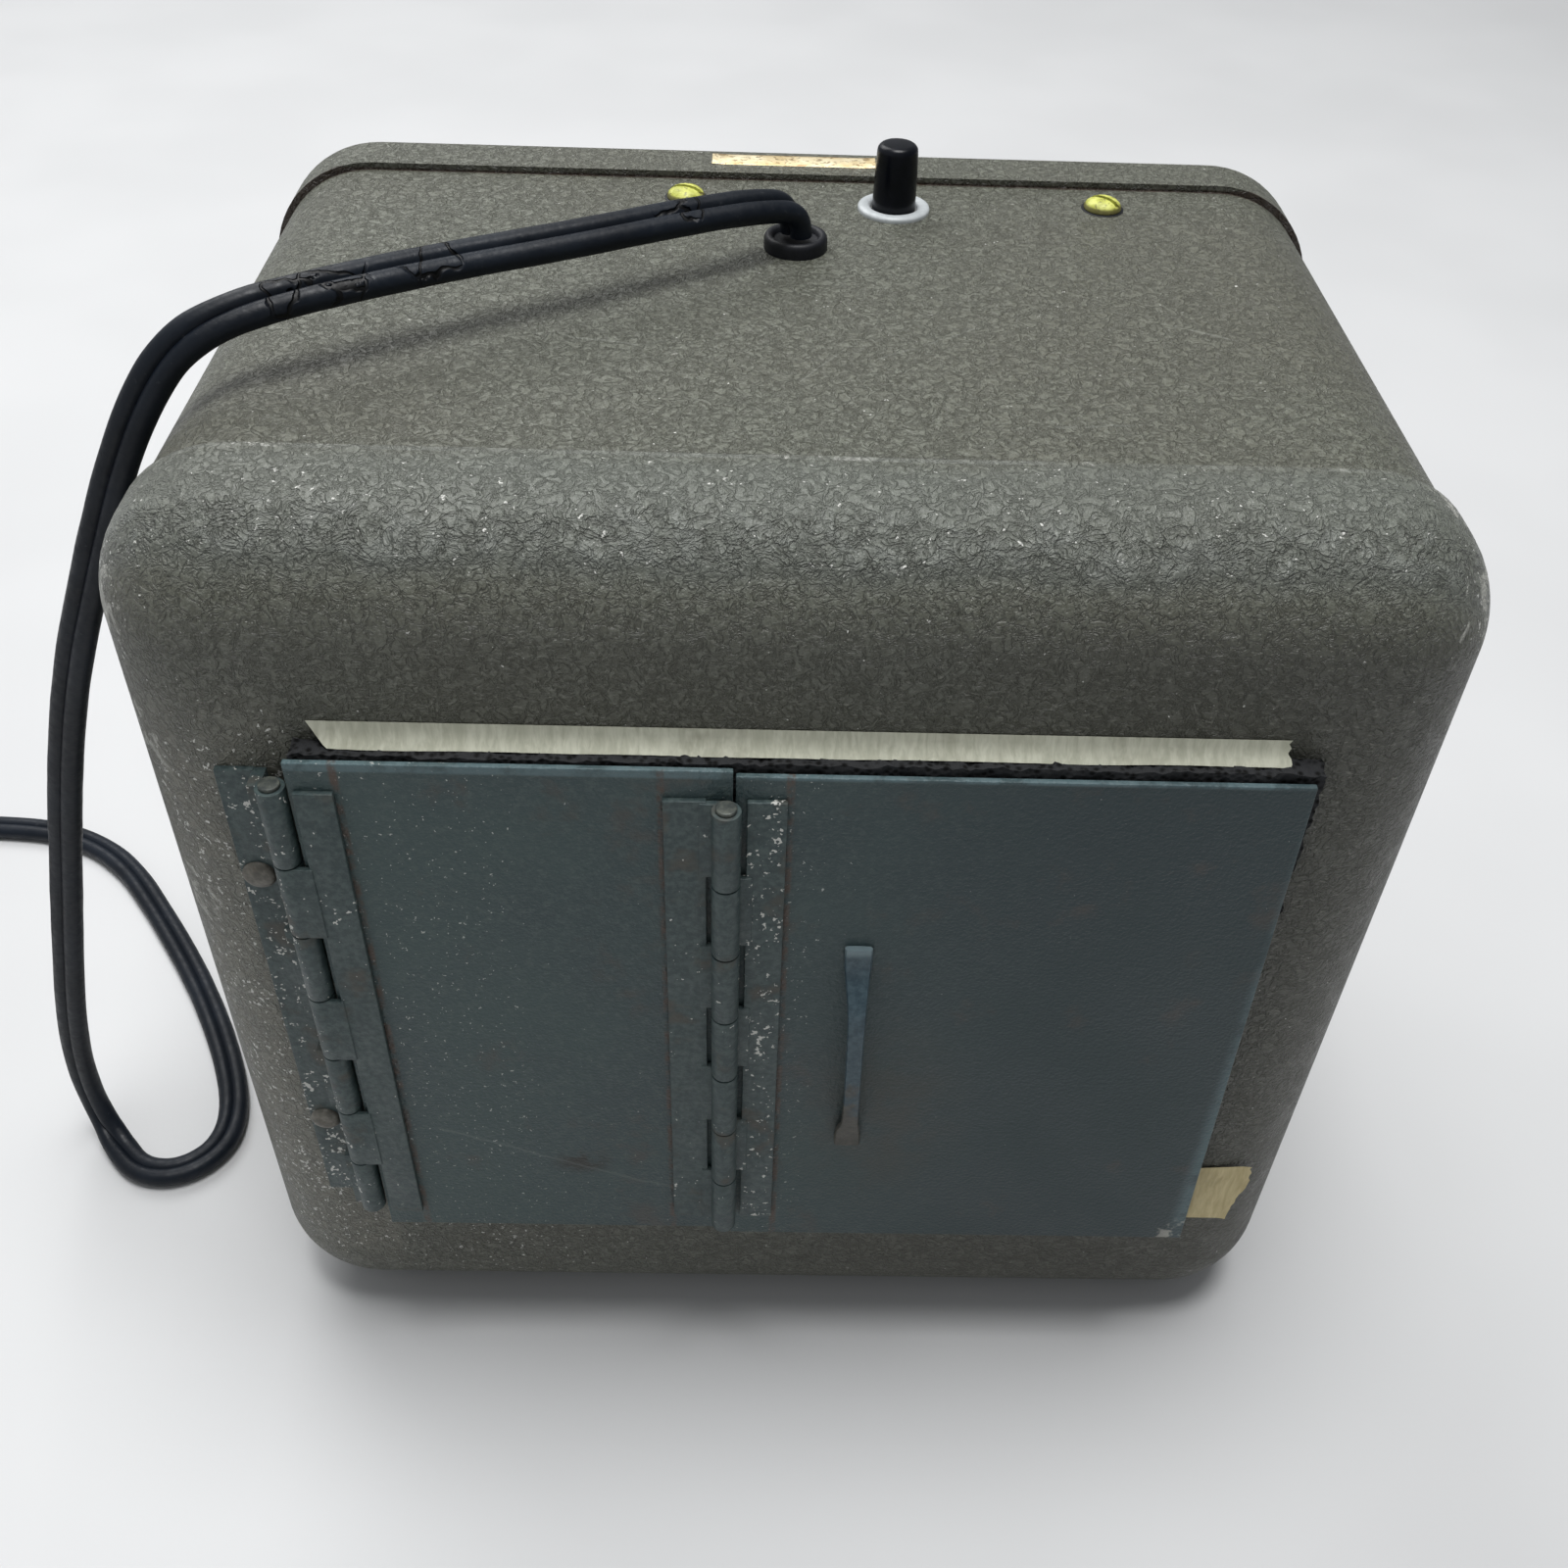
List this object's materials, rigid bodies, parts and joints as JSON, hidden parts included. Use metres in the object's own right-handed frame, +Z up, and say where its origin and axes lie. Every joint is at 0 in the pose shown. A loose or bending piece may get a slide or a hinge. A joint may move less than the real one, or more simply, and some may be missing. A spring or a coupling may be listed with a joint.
{
  "type": "garage door opener",
  "caption": "Painted steel cabinet with a folding service door, push button and flat lead, holding a geared motor drive that turns a chain sprocket.",
  "frame": {"origin": "centre of the underside of the base plate, on the surface it rests on", "axes": "+Z up, -Y towards the folding service door, +Y along the output shaft"},
  "size_m": [0.412, 0.1776, 0.2049],
  "materials": {
    "casing_paint": "olive grey wrinkle enamel",
    "door_paint": "slate blue brushed enamel, worn edges",
    "hinge_paint": "slate blue paint over steel with rust at the edges",
    "rivet_steel": "dull steel",
    "pull_paint": "blue paint worn to brown primer",
    "foam": "open-cell black foam",
    "tape": "creped masking tape",
    "button_black": "moulded black plastic",
    "collar_white": "white washer",
    "screw_paint": "steel screw daubed yellow green",
    "grommet_rubber": "black rubber",
    "badge_foil": "blank brass foil strip, tarnished",
    "cord_black": "black two-lobed lead",
    "blade_brass": "black plug with brass blades",
    "panel_paint": "grey enamel",
    "lens": "frosted lens",
    "zinc_steel": "zinc plated sheet",
    "gear_steel": "cut steel",
    "gear_brass": "cut brass",
    "bush_bronze": "oiled bronze",
    "shaft_steel": "ground steel",
    "motor_paint": "black enamel",
    "copper": "varnished copper wire",
    "fan_fibre": "brown fibre",
    "core_iron": "stacked laminations",
    "coil_paper": "varnished paper wrap",
    "relay_metal": "plated relay frame",
    "capacitor_can": "drawn can",
    "bakelite": "brown moulding",
    "screw_plated": "plated screw",
    "valve_glass": "valve envelope",
    "bulb_glass": "frosted bulb",
    "ceramic": "lamp socket"
  },
  "bodies": {
    "cabinet": {"rear_pan": "casing_paint", "body_sleeve": "casing_paint", "front_bezel": "casing_paint", "front_panel": "panel_paint", "light_lens": "lens", "base_plate": "zinc_steel", "foam_seal": "foam", "side_hinge_casing_leaf": "hinge_paint", "side_hinge_pin": "rivet_steel", "side_hinge_rivets": "rivet_steel", "tape_strip": "tape", "tape_patch": "tape", "button_collar": "collar_white", "cabinet_screws": "screw_paint", "cord_grommet": "grommet_rubber", "name_badge": "badge_foil", "chassis_tray": "zinc_steel", "rear_gear_plate": "zinc_steel", "front_gear_plate": "zinc_steel", "plate_spacers": "shaft_steel", "shaft_bushes": "bush_bronze", "idler_axle": "shaft_steel", "motor_can": "motor_paint", "motor_end_bells": "motor_paint", "stator_winding": "copper", "transformer_core": "core_iron", "transformer_coil": "coil_paper", "control_relay": "relay_metal", "run_capacitor": "capacitor_can", "terminal_strip": "bakelite", "terminal_screws": "screw_plated", "receiver_shelf": "zinc_steel", "valve_sockets": "bakelite", "receiver_valves": "valve_glass", "top_bracket": "zinc_steel", "button_switch": "bakelite", "lamp_socket": "ceramic", "lamp_bulb": "bulb_glass", "limit_switch": "bakelite", "power_cord": "cord_black", "cord_coil": "cord_black", "cord_plug": "blade_brass"},
    "left_door": {"left_door_plate": "door_paint", "side_hinge_door_leaf": "hinge_paint", "fold_hinge_left_leaf": "hinge_paint", "fold_hinge_pin": "rivet_steel"},
    "right_door": {"right_door_plate": "door_paint", "fold_hinge_right_leaf": "hinge_paint", "pull_handle": "pull_paint"},
    "button": {"push_button": "button_black"},
    "output_drive": {"output_shaft": "shaft_steel", "output_gear": "gear_brass", "output_sprocket": "gear_steel", "limit_cam": "bakelite"},
    "idler_drive": {"idler_gear": "gear_brass"},
    "motor_drive": {"motor_rotor": "core_iron", "motor_pinion": "gear_steel", "motor_fan": "fan_fibre"},
    "relay_arm": {"relay_armature": "relay_metal"}
  },
  "joints": [
    {"name": "service_door_hinge", "type": "hinge", "parent": "cabinet", "child": "left_door", "pos_m": [-0.0762, -0.0752, 0.099], "axis": [0, 0, -1], "range_deg": [0, 115]},
    {"name": "service_door_fold", "type": "hinge", "parent": "left_door", "child": "right_door", "pos_m": [-0.0101, -0.0785, 0.099], "axis": [0, 0, -1], "range_deg": [0, 150]},
    {"name": "button_press", "type": "slide", "parent": "cabinet", "child": "button", "axis": [0, 0, -1], "range_m": [0, 0.004], "stiffness_N_per_m": 400, "springref_m": -0.002},
    {"name": "output_spin", "type": "hinge", "parent": "cabinet", "child": "output_drive", "pos_m": [0.038, 0.03, 0.058], "axis": [0, 1, 0], "continuous": true},
    {"name": "idler_spin", "type": "hinge", "parent": "cabinet", "child": "idler_drive", "pos_m": [0.00175, 0.03, 0.0749], "axis": [0, 1, 0], "continuous": true},
    {"name": "motor_spin", "type": "hinge", "parent": "cabinet", "child": "motor_drive", "pos_m": [-0.03088, 0, 0.09012], "axis": [0, 1, 0], "continuous": true},
    {"name": "relay_pull", "type": "hinge", "parent": "cabinet", "child": "relay_arm", "pos_m": [-0.07, -0.015, 0.0284], "axis": [1, 0, 0], "range_deg": [0, 4], "stiffness_Nm_per_rad": 0.02, "springref_deg": -5.73}
  ],
  "couplings": [
    {"joint": "idler_spin", "follows": "output_spin", "ratio": -4},
    {"joint": "motor_spin", "follows": "output_spin", "ratio": 12}
  ]
}
